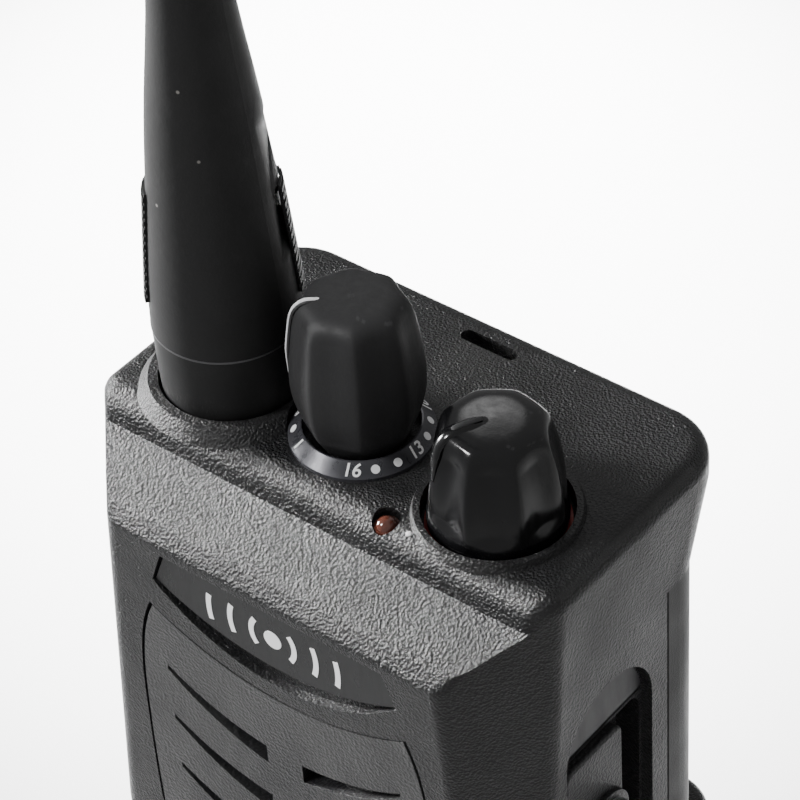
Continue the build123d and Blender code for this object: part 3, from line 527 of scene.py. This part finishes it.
def arc_band(radius, width, start, stop, steps=28):
    """Outline of a flat arc band between two angles in degrees."""
    angles = [radians(start + (stop - start) * k / steps) for k in range(steps + 1)]
    outer = [((radius + width / 2) * cos(a), (radius + width / 2) * sin(a)) for a in angles]
    inner = [((radius - width / 2) * cos(a), (radius - width / 2) * sin(a)) for a in reversed(angles)]
    return outer + inner


def facing(spot, across, up):
    """Matrix of a flat mark at a place, from its two in-plane directions."""
    across, up = Vector(across), Vector(up)
    return Matrix.Translation(spot) @ Matrix((across, up, across.cross(up))).transposed().to_4x4()


def badge_emblem():
    """Plain white dot between three pairs of arcs."""
    low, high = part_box("name_badge")
    sunk = 0.01 * MM
    place = facing((0, low[1] + sunk, high[2] - EMBLEM_DROP * MM), (1, 0, 0), (0, 0, 1))
    dot = [(EMBLEM_DOT_R * cos(radians(k)), EMBLEM_DOT_R * sin(radians(k))) for k in range(0, 360, 8)]
    plate("emblem_dot", dot, EMBLEM_THICKNESS, place, "casing", white_paint)
    for number, (radius, reach) in enumerate(ARCS):
        for side, start in (("right", -reach), ("left", 180 - reach)):
            name = f"emblem_arc_{side}_{number}"
            band = arc_band(radius, ARC_WIDTH, start, start + 2 * reach)
            plate(name, band, EMBLEM_THICKNESS, place, "casing", white_paint)


def jack_scoop():
    """Smooth panel in the arched head of the jack recess, paler than the case to paint the light falling on
    the arch.
    """
    recess_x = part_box("jack_cover")[1][0] - SCOOP_BEHIND * MM
    centre_y = centre("jack_cover").y + SCOOP_BACK * MM
    half = SCOOP_HALF_WIDTH
    arch = SCOOP_HIGH - half
    outline = [(-half, SCOOP_LOW), (half, SCOOP_LOW)]
    outline += [(half * cos(radians(k)), arch + half * sin(radians(k))) for k in range(0, 181, 6)]
    place = facing((recess_x, centre_y, 0), (0, 1, 0), (0, 0, 1))
    plate("jack_scoop", outline, SCOOP_THICKNESS, place, "casing", lit_scoop_plastic)


def off_dot():
    """Raised dot where the volume pointer stands when off."""
    spot = Vector((OFF_DOT_X * MM, OFF_DOT_Y * MM, TOP))
    base = TOP / MM
    profile = [(0.3, base - 0.1), (0.3, base + 0.05), (0.2, base + 0.1)]
    dot = turned("volume_off_dot", profile, spot, 40)
    piece("volume_off_dot", dot, "casing", white_paint)


badge_emblem()
jack_scoop()
off_dot()


# ---- stage, light and camera ----
AIM = (0, 0, 0.12)  # what the lights on the object point at, in metres
WORLD_STRENGTH = 0.36


def hang(name, light, spot, aim):
    """Places a light at a spot, pointing at another."""
    obj = bpy.data.objects.new(name, light)
    obj.location = spot
    obj.rotation_euler = (Vector(aim) - Vector(spot)).to_track_quat("-Z", "Y").to_euler()
    bpy.context.scene.collection.objects.link(obj)


def area_light(name, spot, size, power, spread_angle):
    """Rectangular light on the object, with its beam narrowed to an angle in degrees."""
    light = bpy.data.lights.new(name, "AREA")
    light.shape = "RECTANGLE"
    light.size, light.size_y = size
    light.energy = power
    light.spread = radians(spread_angle)
    hang(name, light, spot, AIM)


def backdrop_light(spot, aim, cone, power):
    """Pool of light on the floor behind the object, which the cone passes by."""
    light = bpy.data.lights.new("backdrop", "SPOT")
    light.spot_size = radians(cone)
    light.spot_blend = 1.0
    light.shadow_soft_size = 0.03
    light.energy = power
    hang("backdrop", light, spot, aim)


def stage():
    """White paper floor, even surroundings and the lights."""
    floor = bpy.data.meshes.new("floor")
    reach = 3.0
    corners = [(-reach, -reach, 0), (reach, -reach, 0), (reach, reach, 0), (-reach, reach, 0)]
    floor.from_pydata(corners, [], [(0, 1, 2, 3)])
    obj = bpy.data.objects.new("floor", floor)
    bpy.context.scene.collection.objects.link(obj)
    paper = new_material("paper", (0.95, 0.95, 0.95), 0.8)
    floor.materials.append(paper)
    world = bpy.data.worlds.new("studio")
    world.use_nodes = True
    background = world.node_tree.nodes["Background"]
    background.inputs["Color"].default_value = (1, 1, 1, 1)
    background.inputs["Strength"].default_value = WORLD_STRENGTH
    bpy.context.scene.world = world
    area_light("key", (-0.4, -0.44, 0.62), size=(0.15, 0.15), power=0.09, spread_angle=18)
    area_light("left", (-0.7, -0.1, 0.2), size=(0.2, 0.3), power=0.7, spread_angle=20)
    area_light("rear_sheen", (-0.4, 0.46, 0.6), size=(0.25, 0.25), power=0.008, spread_angle=20)
    backdrop_light((-0.35, 0.38, 0.55), (-0.12, 0.14, 0), cone=26, power=230)


CAM_AZ, CAM_EL, CAM_ROLL = radians(41.14), radians(41.24), radians(-4.23)
CAM_DISTANCE = 0.29649
CAM_LENS = 144.52  # mm
# where it aims, across and up its view from the top face at x 0 and the antenna's y, in mm
CAM_RIGHT, CAM_UP = 3.3, 4.08


def camera():
    """Camera that looks down on the top from the front right."""
    back = Vector((sin(CAM_AZ) * cos(CAM_EL), -cos(CAM_AZ) * cos(CAM_EL), sin(CAM_EL)))
    level = (-back).cross(Vector((0, 0, 1))).normalized()
    lift = level.cross(-back)
    right = level * cos(CAM_ROLL) + lift * sin(CAM_ROLL)
    up = lift * cos(CAM_ROLL) - level * sin(CAM_ROLL)
    target = Vector((0, ANTENNA.y, TOP)) + right * CAM_RIGHT * MM + up * CAM_UP * MM
    data = bpy.data.cameras.new("camera")
    data.lens = CAM_LENS
    data.clip_start, data.clip_end = 0.01, 20
    obj = bpy.data.objects.new("camera", data)
    turn = Matrix((right, up, back)).transposed().to_4x4()
    obj.matrix_world = Matrix.Translation(target + back * CAM_DISTANCE) @ turn
    bpy.context.scene.collection.objects.link(obj)
    bpy.context.scene.camera = obj


stage()
camera()
